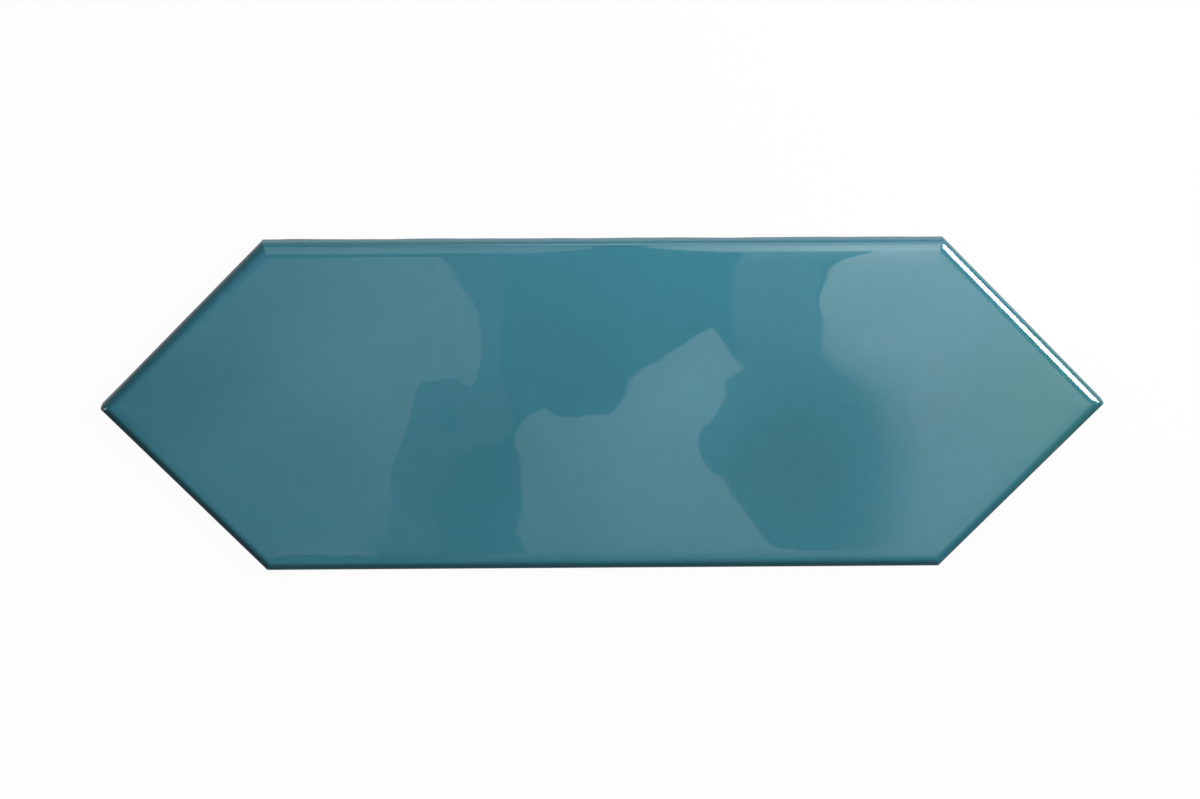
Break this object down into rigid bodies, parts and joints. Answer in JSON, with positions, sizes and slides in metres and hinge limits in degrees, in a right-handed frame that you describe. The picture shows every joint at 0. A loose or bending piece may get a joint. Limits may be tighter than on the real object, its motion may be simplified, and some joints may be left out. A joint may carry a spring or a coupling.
{
  "type": "picket tile",
  "caption": "Long hexagonal glazed ceramic wall tile with a nearly right-angled point at each end, a gently wavy glossy teal face with rolled edges, and a grooved back for adhesive.",
  "frame": {"origin": "centre of the back, on the plane that the tile lies on", "axes": "+X along the tile towards one point, +Y across it, +Z out of the glazed face"},
  "size_m": [0.3, 0.1, 0.0083],
  "materials": {
    "glaze": "gloss"
  },
  "bodies": {
    "root": {"picket_tile": "glaze"}
  },
  "joints": []
}
